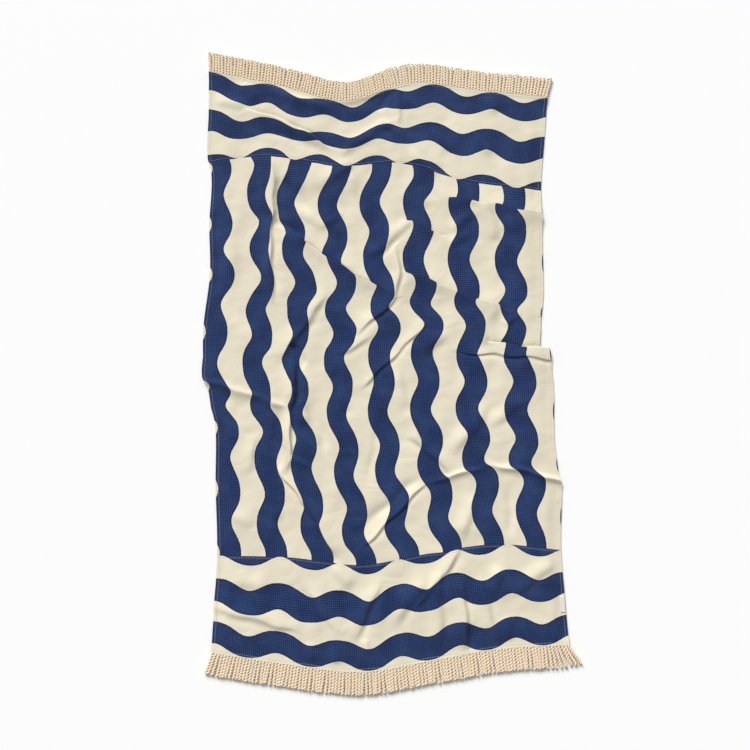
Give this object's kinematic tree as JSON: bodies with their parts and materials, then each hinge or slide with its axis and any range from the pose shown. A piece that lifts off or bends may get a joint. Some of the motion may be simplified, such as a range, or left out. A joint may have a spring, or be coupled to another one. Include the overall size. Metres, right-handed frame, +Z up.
{
  "type": "beach towel",
  "caption": "Large fringed beach towel lying loosely spread and rumpled, a striped body with a cross-striped border at each end.",
  "frame": {"origin": "middle of the towel's bounding box, on the surface that it lies on", "axes": "+Y along the towel's length towards its upper end, +X across it to the right, +Z up from the surface"},
  "size_m": [1.0366, 1.8134, 0.0195],
  "materials": {
    "striped_cotton": "matt",
    "border_cotton": "matt",
    "cord_cotton": "matt",
    "plain_tape": "matt"
  },
  "bodies": {
    "root": {"body_cloth": "striped_cotton", "top_border": "border_cotton", "bottom_border": "border_cotton", "top_fringe": "cord_cotton", "bottom_fringe": "cord_cotton", "side_label": "plain_tape"}
  },
  "joints": []
}
